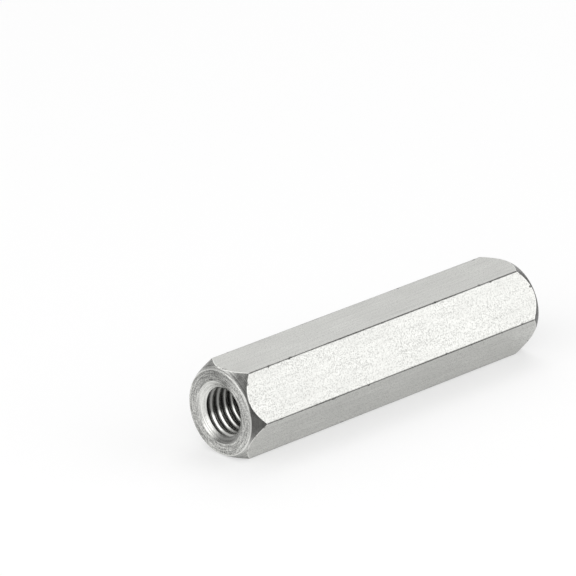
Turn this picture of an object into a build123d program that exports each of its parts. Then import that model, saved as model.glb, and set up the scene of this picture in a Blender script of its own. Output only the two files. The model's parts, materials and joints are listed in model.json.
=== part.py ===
from build123d import *
from math import cos, radians, tan
import os

# Hexagonal coupling nut, a long nut that joins two threaded rods end to end.
# It is cut from hexagon bar, turned to a cone at both ends, then bored and countersunk.
# Lengths are in millimetres and angles in degrees.
# The bore lies along X, a flat faces down and +Z is up.
# The origin is on the bore's axis, halfway along the nut.

# Driving dimensions
across_flats = 8.0  # the spanner size
length = 35.0
long_edge_radius = 0.2  # rounding of the six long edges of the drawn bar
end_face_inset = 0.15  # from a flat's plane in to the rim of the end face
end_chamfer_angle = 30.0  # between the turned cone and the nut's axis
bore_diameter = 4.2  # the inside diameter of an M5 thread with a pitch of 0.8
countersink_width = 0.7  # from the wall of the bore out to the countersink's rim
countersink_angle = 120.0  # the whole angle of the countersink's cone
turning_overrun = 1.0  # how far the turned profile reaches past the corners
side_count = 6

# Sizes that follow from them
half_length = length / 2
flat_distance = across_flats / 2
corner_distance = flat_distance / cos(radians(180 / side_count))
end_face_radius = flat_distance - end_face_inset
turned_radius = corner_distance + turning_overrun
chamfer_run = (turned_radius - end_face_radius) / tan(radians(end_chamfer_angle))
bore_radius = bore_diameter / 2
countersink_radius = bore_radius + countersink_width

os.makedirs("parts", exist_ok=True)

# The nut is one piece.
with BuildPart() as coupling_nut:
    # Drawn hexagon bar, with one flat facing up and one facing down
    with BuildSketch(Plane.YZ) as bar_section:
        RegularPolygon(radius=flat_distance, side_count=side_count, major_radius=False)
        fillet(bar_section.vertices(), radius=long_edge_radius)
    extrude(amount=half_length, both=True)

    # Both ends turned to a cone, which leaves a round end face and a curved edge on each flat
    with BuildSketch(Plane.XZ) as turned_section:
        with BuildLine() as turned_outline:
            Polyline(
                (-half_length, 0),
                (-half_length, end_face_radius),
                (-half_length + chamfer_run, turned_radius),
                (half_length - chamfer_run, turned_radius),
                (half_length, end_face_radius),
                (half_length, 0),
                close=True,
            )
        make_face()
    revolve(axis=Axis.X, mode=Mode.INTERSECT)

    # The bore runs right through, with a countersink at each mouth
    with Locations(coupling_nut.faces().filter_by(Axis.X)):
        CounterSinkHole(
            radius=bore_radius,
            counter_sink_radius=countersink_radius,
            counter_sink_angle=countersink_angle,
        )

coupling_nut.part.label = "coupling_nut"
export_step(coupling_nut.part, "parts/coupling_nut.step")
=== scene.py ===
import json
from math import atan2, cos, hypot, pi, radians, sin, tan

import bmesh
import bpy
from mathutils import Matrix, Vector


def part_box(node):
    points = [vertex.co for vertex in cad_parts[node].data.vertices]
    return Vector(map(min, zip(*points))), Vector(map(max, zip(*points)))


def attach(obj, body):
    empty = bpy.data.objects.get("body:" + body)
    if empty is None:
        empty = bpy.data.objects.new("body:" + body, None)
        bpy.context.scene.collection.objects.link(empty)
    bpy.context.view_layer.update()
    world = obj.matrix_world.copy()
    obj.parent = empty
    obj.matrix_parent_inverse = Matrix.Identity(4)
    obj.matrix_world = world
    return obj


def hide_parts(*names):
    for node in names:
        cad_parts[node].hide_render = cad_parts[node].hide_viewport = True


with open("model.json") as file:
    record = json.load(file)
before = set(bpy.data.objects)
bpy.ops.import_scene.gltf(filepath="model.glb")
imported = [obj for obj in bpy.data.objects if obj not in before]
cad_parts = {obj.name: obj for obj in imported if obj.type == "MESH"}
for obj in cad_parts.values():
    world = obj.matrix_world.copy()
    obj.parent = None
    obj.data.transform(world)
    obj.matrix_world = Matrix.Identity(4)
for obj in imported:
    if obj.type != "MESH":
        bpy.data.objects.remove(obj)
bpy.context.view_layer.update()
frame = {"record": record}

# A steel coupling nut with a right-hand thread cut right through its bore.
# Lengths are in metres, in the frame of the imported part: the bore lies along X and +Z is up.
# Angles about the bore start at +Y and turn towards +Z.

MM = 0.001
MICROMETRE = MM / 1000

# Sizes read from the frame
nut_low, nut_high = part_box("coupling_nut")
half_length = (nut_high.x - nut_low.x) / 2
flat_distance = (nut_high.z - nut_low.z) / 2
bore_mount = next(mount for mount in frame["record"]["mounts"] if mount["kind"] == "threaded_hole")
bore_radius = bore_mount["dims"]["r_mm"] * MM
countersink_depth = half_length - bore_mount["dims"]["length_mm"] * MM / 2

# The outside of the nut
side_count = 6
side_angle = 2 * pi / side_count
long_edge_radius = 0.2 * MM
end_face_inset = 0.15 * MM
end_face_radius = flat_distance - end_face_inset
chamfer_angle = radians(30)  # between the turned cone and the bore's axis
chamfer_slope = tan(chamfer_angle)
rim_rounding = 0.07 * MM
chamfer_edge_rounding = 0.16 * MM

# The countersinks and the thread, M5 with a pitch of 0.8 mm
countersink_half_angle = radians(60)
countersink_slope = tan(countersink_half_angle)
countersink_radius = bore_radius + countersink_depth * countersink_slope
mouth_rounding = 0.04 * MM
mouth_depth = 2 * mouth_rounding
thread_pitch = 0.8 * MM
thread_radius = 2.5 * MM
flank_middle = (bore_radius + thread_radius) / 2
thread_root_width = thread_pitch / 8
thread_flank_angle = radians(30)  # between a flank and a plane square to the bore's axis
thread_flank_run = (thread_radius - bore_radius) * tan(thread_flank_angle)
crest_rounding = 0.20 * MM
root_rounding = 0.05 * MM
first_crest_share = 0.46  # of a pitch, from the end to the first crest at angle zero

# How finely the mesh is divided
columns_per_flat = 14
columns_per_edge = 4
mouth_steps = 2
rim_steps = 4
chamfer_edge_steps = 2
thread_steps = 2
turns_before = 2  # from the bore's first row to the first crest
spare_turns = 5  # turns of rows beyond those that the nut's length holds
sharp_angle = radians(40)

# Painted shade and highlights, and wear, on the steel, in millimetres, as the materials measure
dark_edge_width = 0.10  # the painted dark reflection along a flat's edges, widened by real nicks
long_edge_nicks = 0.11  # how far nicks widen that line at the long edges
long_edge_waver = 0.02
chamfer_edge_nicks = 0.42  # how far nicks widen it at the chamfer
chamfer_edge_shift = 0.08  # moves it towards the chamfer, so that little but nicks shows
chamfer_highlight_width = 0.12  # the painted highlight along the chamfer
rim_highlight_core = 0.03  # half the painted highlight on the rim of the end face
rim_highlight_reach = 0.08  # from the rim to where that line has faded out
root_unevenness = 0.08  # of the line where the painted shade in the thread's roots starts

# Marks left by turning, as fine rings and broad bands, in waves a millimetre of radius
ring_waves = 12.0
band_waves = ring_waves / 5
band_contrast = 0.10  # what the bands add to the tone

# The span that most of a noise's values lie in
noise_low = 0.35
noise_high = 0.65

# Colours, as linear red, green and blue with an alpha of one
dark_steel = (0.030, 0.030, 0.028, 1.0)
bright_steel = (0.800, 0.802, 0.774, 1.0)
grazing_tint = (0.72, 0.72, 0.72, 1.0)  # dims the steel where it is seen nearly edge on
floor_colour = (0.95, 0.95, 0.95, 1.0)
floor_glow_colour = (1.0, 1.0, 1.0, 1.0)
studio_colour = (0.55, 0.55, 0.55, 1.0)

# The floor, which glows in part and keeps the nut's shadow in the rest
floor_reach = 2.0
floor_glow_share = 0.46

# The photograph's camera, which looks at the nut from its left, in front and above
image_size = 576
sensor_width = 36.0
focal_pixels = 5707.7
camera_distance = 498.1 * MM
camera_azimuth = radians(-44.106)
camera_elevation = radians(23.484)
nut_centre_pixel = (366.96, 355.79)

finishes = ["drawn", "face", "chamfer", "countersink", "thread"]


def rounded(corners, roundings, steps):
    """An open line whose inner corners become arcs of these radii, each with a number of steps."""
    line = [corners[0]]
    for i, (rounding, count) in enumerate(zip(roundings, steps)):
        before, corner, after = corners[i : i + 3]
        heading_in = atan2(corner[1] - before[1], corner[0] - before[0])
        heading_out = atan2(after[1] - corner[1], after[0] - corner[0])
        turn = (heading_out - heading_in + pi) % (2 * pi) - pi
        tangent = rounding * tan(abs(turn) / 2)
        reach = rounding if turn > 0 else -rounding
        centre_x = corner[0] - tangent * cos(heading_in) - reach * sin(heading_in)
        centre_y = corner[1] - tangent * sin(heading_in) + reach * cos(heading_in)
        for step in range(count + 1):
            heading = heading_in + turn * step / count
            line.append((centre_x + reach * sin(heading), centre_y - reach * cos(heading)))
    line.append(corners[-1])
    return line


def hexagon_columns():
    """The angle of each column of the mesh about the bore, and the rounded hexagon's radius there."""
    edge_centre = (flat_distance - long_edge_radius) / cos(side_angle / 2)
    flat_half_width = (flat_distance - long_edge_radius) * tan(side_angle / 2)
    flat_half_angle = atan2(flat_half_width, flat_distance)
    columns = []
    for side in range(side_count):
        corner_angle = side * side_angle
        for step in range(columns_per_edge):
            turned = side_angle * (step / columns_per_edge - 0.5)
            along = edge_centre + long_edge_radius * cos(turned)
            across = long_edge_radius * sin(turned)
            columns.append((corner_angle + atan2(across, along), hypot(along, across)))
        for step in range(columns_per_flat):
            turned = flat_half_angle * (2 * step / columns_per_flat - 1)
            columns.append((corner_angle + side_angle / 2 + turned, flat_distance / cos(turned)))
    return columns


def end_profile(hexagon_radius):
    """One column of an end as depths and radii, from the mouth over the rim to mid-length."""
    chamfer_depth = (hexagon_radius - end_face_radius) / chamfer_slope
    corners = [
        (mouth_depth, countersink_radius - mouth_depth * countersink_slope),
        (0, countersink_radius),
        (0, end_face_radius),
        (chamfer_depth, hexagon_radius),
        (half_length, hexagon_radius),
    ]
    roundings = [mouth_rounding, rim_rounding, chamfer_edge_rounding]
    return rounded(corners, roundings, [mouth_steps, rim_steps, chamfer_edge_steps])


# The finish of each strip of that profile, from one point to the next
end_strips = ["countersink"] * (1 + mouth_steps) + ["face"]
end_strips += ["chamfer"] * (rim_steps + 1) + ["drawn"] * (chamfer_edge_steps + 1)


def thread_profile():
    """One pitch of the thread as places along the axis and radii, from mid-crest to mid-crest."""
    root_middle = thread_pitch / 2
    root_half = thread_root_width / 2
    foot = root_half + thread_flank_run
    corners = [
        (0, bore_radius),
        (root_middle - foot, bore_radius),
        (root_middle - root_half, thread_radius),
        (root_middle + root_half, thread_radius),
        (root_middle + foot, bore_radius),
        (thread_pitch, bore_radius),
    ]
    roundings = [crest_rounding, root_rounding, root_rounding, crest_rounding]
    line = rounded(corners, roundings, [thread_steps] * len(roundings))[:-1]
    middles = [(root_middle + side * (foot + root_half) / 2, flank_middle) for side in (-1, 1)]
    return sorted(line + middles)


def bore_column(angle, profile, turns):
    """The bore at one angle: axial place, radius and whether it is in a countersink, by row.

    The rows climb with the thread. A row past the mouth's edge is given as that end, -1 or 1.
    """
    start = (first_crest_share + angle / (2 * pi) - turns_before) * thread_pitch - half_length
    rows = []
    for turn in range(turns):
        for place, radius in profile:
            x = start + turn * thread_pitch + place
            cone = countersink_radius - (half_length - abs(x)) * countersink_slope
            rows.append((x, radius, cone))
    limit = half_length - mouth_depth
    column = []
    for x, radius, cone in rows:
        if abs(x) >= limit:
            column.append(-1 if x < 0 else 1)
        else:
            column.append((x, max(radius, cone), cone > bore_radius))
    # The last row on each cone moves to the line where the cone meets the thread.
    for i in range(len(rows) - 1):
        (x, radius, cone), (next_x, next_radius, next_cone) = rows[i : i + 2]
        gap = cone - radius
        next_gap = next_cone - next_radius
        if (gap > 0) != (next_gap > 0):
            share = gap / (gap - next_gap)
            meeting_x = x + share * (next_x - x)
            meeting_radius = cone + share * (next_cone - cone)
            column[i if gap > 0 else i + 1] = (meeting_x, meeting_radius, True)
    return column


def nut_faces():
    """The nut's points, its faces and each face's finish, for the outside, both ends and the bore."""
    columns = hexagon_columns()
    count = len(columns)
    points, faces, face_finishes = [], [], []

    def add_point(x, radius, angle):
        points.append((x, radius * cos(angle), radius * sin(angle)))
        return len(points) - 1

    def add_face(corners, finish):
        corners = list(dict.fromkeys(corners))
        if len(corners) > 2:
            faces.append(corners)
            face_finishes.append(finishes.index(finish))

    # The outside, from the near mouth to the far mouth
    outside = []
    for angle, hexagon_radius in columns:
        profile = end_profile(hexagon_radius)
        near = [add_point(depth - half_length, radius, angle) for depth, radius in profile]
        far = [add_point(half_length - depth, radius, angle) for depth, radius in profile[-2::-1]]
        outside.append(near + far)
    strips = end_strips + end_strips[::-1]
    for j in range(count):
        here, there = outside[j], outside[(j + 1) % count]
        for i, finish in enumerate(strips):
            add_face([here[i], here[i + 1], there[i + 1], there[i]], finish)

    # The bore, whose rows meet themselves one pitch further on after each turn
    profile = thread_profile()
    turns = int(2 * half_length / thread_pitch) + spare_turns
    bore = []
    for j, (angle, _) in enumerate(columns):
        column = []
        for row in bore_column(angle, profile, turns):
            if row in (-1, 1):
                column.append((outside[j][0 if row < 0 else -1], True))
            else:
                x, radius, sunk = row
                column.append((add_point(x, radius, angle), sunk))
        bore.append(column)
    for j in range(count):
        here = bore[j]
        there = bore[j + 1] if j + 1 < count else bore[0][len(profile) :]
        for i in range(len(there) - 1):
            first, second, third, fourth = here[i], here[i + 1], there[i + 1], there[i]
            for corners in ((first, second, fourth), (second, third, fourth)):
                finish = "countersink" if all(sunk for point, sunk in corners) else "thread"
                add_face([point for point, sunk in corners], finish)
    return points, faces, face_finishes


def nut_mesh():
    """The whole nut as one closed mesh, smooth apart from its sharp edges."""
    points, faces, face_finishes = nut_faces()
    mesh = bpy.data.meshes.new("coupling_nut_threaded")
    mesh.from_pydata(points, [], faces)
    mesh.polygons.foreach_set("material_index", face_finishes)
    mesh.polygons.foreach_set("use_smooth", [True] * len(faces))
    work = bmesh.new()
    work.from_mesh(mesh)
    loose = [vertex for vertex in work.verts if not vertex.link_faces]
    bmesh.ops.delete(work, geom=loose, context="VERTS")
    bmesh.ops.recalc_face_normals(work, faces=work.faces)
    work.to_mesh(mesh)
    work.free()
    mesh.set_sharp_from_angle(angle=sharp_angle)
    return mesh


def add_node(tree, kind, inputs, **settings):
    """Add a node with these settings. Each input is a value, or an output socket to link from."""
    made = tree.nodes.new(kind)
    for name, value in settings.items():
        setattr(made, name, value)
    for name, value in inputs.items():
        if isinstance(value, bpy.types.NodeSocket):
            tree.links.new(value, made.inputs[name])
        else:
            made.inputs[name].default_value = value
    return made


def calculate(tree, operation, *values):
    """The result of one operation on values and sockets."""
    return add_node(tree, "ShaderNodeMath", dict(enumerate(values)), operation=operation).outputs[0]


def calculate_vector(tree, operation, *values):
    """The outputs of one operation on vectors, which are named Vector and Value."""
    return add_node(tree, "ShaderNodeVectorMath", dict(enumerate(values)), operation=operation).outputs


def separate(tree, vector):
    """The X, Y and Z of a vector."""
    return add_node(tree, "ShaderNodeSeparateXYZ", {0: vector}).outputs


def between(tree, value, low, high, to_low=0.0, to_high=1.0):
    """Carry a value smoothly from one span to another, held at the new span's ends."""
    spans = {"Value": value, "From Min": low, "From Max": high, "To Min": to_low, "To Max": to_high}
    return add_node(tree, "ShaderNodeMapRange", spans, interpolation_type="SMOOTHSTEP").outputs[0]


def total(tree, start, *terms):
    """A start value plus each term, which is a field and the weight that it counts with."""
    for field, weight in terms:
        start = calculate(tree, "MULTIPLY_ADD", field, weight, start)
    return start


def noise(tree, place, waves, detail=2.0):
    """Noise with this many waves a millimetre along each axis of a place."""
    scaled = calculate_vector(tree, "MULTIPLY", place, waves)["Vector"]
    inputs = {"Vector": scaled, "Scale": 1.0, "Detail": detail}
    return add_node(tree, "ShaderNodeTexNoise", inputs).outputs[0]


def part_places(tree):
    """A point's place in millimetres, its distance from the bore's axis and its direction from it."""
    coordinates = add_node(tree, "ShaderNodeTexCoord", {}).outputs["Object"]
    scaling = {0: coordinates, "Scale": 1 / MM}
    place = add_node(tree, "ShaderNodeVectorMath", scaling, operation="SCALE").outputs["Vector"]
    across = calculate_vector(tree, "MULTIPLY", place, (0, 1, 1))["Vector"]
    radius = calculate_vector(tree, "LENGTH", across)["Value"]
    outward = calculate_vector(tree, "NORMALIZE", across)["Vector"]
    return place, radius, outward


def new_steel(name):
    """A new material and its nodes."""
    material = bpy.data.materials.new(name + "_steel")
    material.use_nodes = True
    return material, material.node_tree


def finish_steel(tree, tone, roughness, height):
    """Give the steel a tone from 0, dark, to 1, bright, a roughness, and a relief in micrometres."""
    shader = tree.nodes["Principled BSDF"]
    shader.inputs["Metallic"].default_value = 1.0
    shader.inputs["Specular Tint"].default_value = grazing_tint
    # The colours of a Mix node are its inputs 6 and 7 and its output 2.
    colours = {0: tone, 6: dark_steel, 7: bright_steel}
    colour = add_node(tree, "ShaderNodeMix", colours, data_type="RGBA").outputs[2]
    relief = add_node(tree, "ShaderNodeBump", {"Height": height, "Distance": MICROMETRE}).outputs[0]
    tree.links.new(colour, shader.inputs["Base Color"])
    tree.links.new(roughness, shader.inputs["Roughness"])
    tree.links.new(relief, shader.inputs["Normal"])


def drawn_steel():
    """Cold-drawn flats: fine lengthwise lines, mottling, small pits, nicked edges with a painted dark
    reflection along them, and a painted highlight along the chamfer.
    """
    material, tree = new_steel("drawn")
    place, radius, outward = part_places(tree)
    lines = noise(tree, place, (0.16, 4.0, 4.0), detail=4.0)
    mottling = noise(tree, place, (0.25, 0.35, 0.35))
    grain = noise(tree, place, (3.5, 6.0, 6.0))
    pits = between(tree, noise(tree, place, (8.0, 8.5, 8.5)), 0.44, 0.70)
    crowding = between(tree, mottling, noise_low, noise_high, to_low=0.7)
    pits = calculate(tree, "MULTIPLY", pits, crowding)

    # The distance from the nearest long edge
    direction = separate(tree, outward)
    turn = calculate(tree, "ARCTAN2", direction["Z"], direction["Y"])
    sector = calculate(tree, "MULTIPLY_ADD", turn, side_count / (2 * pi), 0.5)
    off_edge = calculate(tree, "SUBTRACT", calculate(tree, "FRACT", sector), 0.5)
    off_edge = calculate(tree, "MULTIPLY", calculate(tree, "ABSOLUTE", off_edge), side_angle)
    off_edge = calculate(tree, "MULTIPLY", off_edge, radius)

    # The distance from the chamfer at the nearer end
    along = calculate(tree, "ABSOLUTE", separate(tree, place)["X"])
    depth = calculate(tree, "SUBTRACT", half_length / MM, along)
    past_face = calculate(tree, "SUBTRACT", radius, end_face_radius / MM)
    chamfer_depth = calculate(tree, "DIVIDE", past_face, chamfer_slope)
    off_chamfer = calculate(tree, "SUBTRACT", depth, chamfer_depth)

    # A painted dark reflection along the long edges, made uneven by nicks, and a painted highlight along
    # the chamfer with dark nicks
    nicks = between(tree, noise(tree, place, (1.6, 2.0, 2.0), detail=4.0), 0.58, 0.74)
    waver = between(tree, noise(tree, place, (0.12, 0.5, 0.5)), noise_low, noise_high)
    chamfer_highlight = between(tree, off_chamfer, 0.0, chamfer_highlight_width, to_low=1.0, to_high=0.0)
    off_edge = total(tree, off_edge, (nicks, -long_edge_nicks), (waver, -long_edge_waver))
    off_chamfer = calculate(tree, "ADD", off_chamfer, chamfer_edge_shift)
    off_chamfer = total(tree, off_chamfer, (nicks, -chamfer_edge_nicks))
    nearest = calculate(tree, "MINIMUM", off_edge, off_chamfer)
    edge = between(tree, nearest, 0.0, dark_edge_width, to_low=1.0, to_high=0.0)

    tone = total(tree, 0.60, (lines, 0.25), (mottling, 0.15), (pits, -0.23))
    tone = total(tree, tone, (chamfer_highlight, 0.30), (edge, -0.62))
    roughness = total(tree, 0.26, (grain, 0.10), (pits, 0.10), (lines, 0.06))
    height = total(tree, 0.0, (lines, 0.8), (grain, 1.2), (pits, -8.0))
    finish_steel(tree, tone, roughness, height)
    return material


def painted_side_shade(tree, outward, tone, side, low, high, share):
    """Paint shade onto a tone: darken it, by up to this share of it, on the side that a direction from
    the axis points to.

    Low and high are where the painted shade starts and where it is full, with about 1 right at that
    side.
    """
    nearness = calculate_vector(tree, "DOT_PRODUCT", outward, side)["Value"]
    side_shade = between(tree, nearness, low, high)
    return calculate(tree, "MULTIPLY", tone, total(tree, 1.0, (side_shade, -share)))


def turned_steel(name, tone, reach, contrast, grain, roughness, relief, rim, shade_side, shade_share):
    """A surface cut on a lathe, with rings that come and go around it, painted shade on one side and a
    painted highlight along the end face's rim.

    Contrast, grain and rim are what the rings, the grain and the painted highlight on the end face's rim
    add to the tone.
    The reach of the rings is in waves a radian, and their relief in micrometres.
    """
    material, tree = new_steel(name)
    place, radius, outward = part_places(tree)
    direction = separate(tree, outward)
    turned = {"X": radius, "Y": direction["Y"], "Z": direction["Z"]}
    turned = add_node(tree, "ShaderNodeCombineXYZ", turned).outputs[0]
    rings = noise(tree, turned, (ring_waves, reach, reach), detail=4.0)
    rings = between(tree, rings, noise_low, noise_high)
    bands = noise(tree, turned, (band_waves, reach, reach), detail=1.0)
    grains = noise(tree, place, (6.0, 6.0, 6.0), detail=3.0)
    grains = between(tree, grains, noise_low, noise_high)
    off_rim = calculate(tree, "SUBTRACT", radius, end_face_radius / MM)
    off_rim = calculate(tree, "ABSOLUTE", off_rim)
    # A painted highlight along the rim of the end face
    rim_highlight = between(tree, off_rim, rim_highlight_core, rim_highlight_reach, to_low=1.0, to_high=0.0)

    darkest = tone - (contrast + band_contrast + grain) / 2
    tone = total(tree, darkest, (rings, contrast), (bands, band_contrast), (grains, grain))
    # Painted shade on one side of the part
    tone = painted_side_shade(tree, outward, tone, shade_side, low=0.55, high=0.95, share=shade_share)
    tone = total(tree, tone, (rim_highlight, rim))
    roughness = total(tree, roughness - 0.05, (bands, 0.06), (grains, 0.04))
    height = total(tree, 0.0, (rings, relief), (grains, relief / 4))
    finish_steel(tree, tone, roughness, height)
    return material


def thread_steel():
    """The thread: bright crests, and flanks with painted shade towards the roots and on one side."""
    material, tree = new_steel("thread")
    place, radius, outward = part_places(tree)
    grain = noise(tree, place, (2.0, 4.0, 4.0))
    uneven = total(tree, radius, (grain, root_unevenness))
    # Painted shade towards the thread's roots
    tone = between(tree, uneven, flank_middle / MM, thread_radius / MM, to_low=1.0, to_high=0.08)
    # Painted shade on the bore's side towards +Y and up
    tone = painted_side_shade(tree, outward, tone, (0.0, 0.50, 0.87), low=-0.13, high=0.17, share=0.68)
    roughness = total(tree, 0.23, (grain, 0.12))
    height = total(tree, 0.0, (grain, 1.5))
    finish_steel(tree, tone, roughness, height)
    return material


nut = bpy.data.objects.new("coupling_nut_threaded", nut_mesh())
bpy.context.scene.collection.objects.link(nut)
steels = {
    "drawn": drawn_steel(),
    # Painted shade on the top of the end face, and a painted highlight along its rim
    "face": turned_steel(
        "face",
        tone=0.58,
        reach=2.2,
        contrast=0.52,
        grain=0.34,
        roughness=0.27,
        relief=11.0,
        rim=0.35,
        shade_side=(0.0, 0.30, 0.95),
        shade_share=0.38,
    ),
    # Painted shade on the chamfer's side towards -Y and up, and a painted highlight along its edge with
    # the end face
    "chamfer": turned_steel(
        "chamfer",
        tone=0.56,
        reach=1.4,
        contrast=0.32,
        grain=0.16,
        roughness=0.24,
        relief=11.0,
        rim=0.60,
        shade_side=(0.0, -0.934, 0.358),
        shade_share=0.83,
    ),
    # Painted shade on the countersink's lower side
    "countersink": turned_steel(
        "countersink",
        tone=0.82,
        reach=1.4,
        contrast=0.44,
        grain=0.10,
        roughness=0.28,
        relief=7.0,
        rim=0.0,
        shade_side=(0.0, -0.30, -0.95),
        shade_share=0.58,
    ),
    "thread": thread_steel(),
}
for finish in finishes:
    nut.data.materials.append(steels[finish])
weighted = nut.modifiers.new("weighted_normals", "WEIGHTED_NORMAL")
weighted.keep_sharp = True
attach(nut, "root")
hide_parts("coupling_nut")


def add_floor():
    """A plain white floor that keeps the nut's soft shadow."""
    near, far, low = -floor_reach, floor_reach, nut_low.z
    mesh = bpy.data.meshes.new("floor")
    corners = [(near, near, low), (far, near, low), (far, far, low), (near, far, low)]
    mesh.from_pydata(corners, [], [(0, 1, 2, 3)])
    floor = bpy.data.objects.new("floor", mesh)
    bpy.context.scene.collection.objects.link(floor)
    material = bpy.data.materials.new("pale_floor")
    material.use_nodes = True
    tree = material.node_tree
    tree.nodes.clear()
    paths = add_node(tree, "ShaderNodeLightPath", {}).outputs
    seen = calculate(tree, "MAXIMUM", paths["Is Camera Ray"], paths["Is Glossy Ray"])
    seen = calculate(tree, "MAXIMUM", seen, paths["Is Transmission Ray"])
    share = calculate(tree, "MULTIPLY", seen, floor_glow_share)
    plain = add_node(tree, "ShaderNodeBsdfDiffuse", {"Color": floor_colour}).outputs[0]
    glow = add_node(tree, "ShaderNodeEmission", {"Color": floor_glow_colour, "Strength": 1.0}).outputs[0]
    mix = add_node(tree, "ShaderNodeMixShader", {0: share, 1: plain, 2: glow}).outputs[0]
    add_node(tree, "ShaderNodeOutputMaterial", {"Surface": mix})
    mesh.materials.append(material)


add_floor()


def softbox(name, direction, distance, width, height, radiance):
    """A rectangular lamp that faces the nut. A mirror shows it at its radiance, where 1 is white."""
    light = bpy.data.lights.new(name, "AREA")
    light.shape = "RECTANGLE"
    light.size = width
    light.size_y = height
    light.energy = radiance * pi * width * height
    lamp = bpy.data.objects.new(name, light)
    lamp.location = Vector(direction).normalized() * distance
    lamp.rotation_mode = "QUATERNION"
    lamp.rotation_quaternion = Vector(direction).to_track_quat("Z", "Y")
    bpy.context.scene.collection.objects.link(lamp)


softbox(
    "right_softbox",
    direction=(0.64, -0.67, 0.40),
    distance=0.30,
    width=0.30,
    height=0.24,
    radiance=1.15,
)
softbox(
    "left_softbox",
    direction=(-0.81, -0.22, 0.55),
    distance=0.30,
    width=0.50,
    height=0.32,
    radiance=1.15,
)
softbox(
    "back_softbox",
    direction=(0.62, 0.66, 0.42),
    distance=0.40,
    width=0.36,
    height=0.28,
    radiance=0.32,
)
softbox(
    "top_softbox",
    direction=(0.30, 0.40, 0.86),
    distance=0.40,
    width=0.36,
    height=0.36,
    radiance=1.0,
)

world = bpy.data.worlds.new("studio")
bpy.context.scene.world = world
world.use_nodes = True
world.node_tree.nodes["Background"].inputs["Color"].default_value = studio_colour


def add_camera():
    """The photograph's camera, turned so that the nut's centre falls on its pixel."""
    data = bpy.data.cameras.new("photo_camera")
    data.sensor_width = sensor_width
    data.lens = focal_pixels / image_size * sensor_width
    data.clip_start = camera_distance / 100
    data.clip_end = camera_distance * 100
    camera = bpy.data.objects.new("photo_camera", data)
    level = cos(camera_elevation)
    back = Vector((sin(camera_azimuth) * level, -cos(camera_azimuth) * level, sin(camera_elevation)))
    facing = (-back).to_track_quat("-Z", "Y")
    right = facing @ Vector((1, 0, 0))
    up = facing @ Vector((0, 1, 0))
    pixel = camera_distance / focal_pixels
    aim = right * (image_size / 2 - nut_centre_pixel[0]) * pixel
    aim += up * (nut_centre_pixel[1] - image_size / 2) * pixel
    camera.location = back * camera_distance
    camera.rotation_mode = "QUATERNION"
    camera.rotation_quaternion = (-back).rotation_difference(aim - camera.location) @ facing
    bpy.context.scene.collection.objects.link(camera)
    bpy.context.scene.camera = camera


add_camera()
bpy.context.scene.view_settings.view_transform = "Standard"
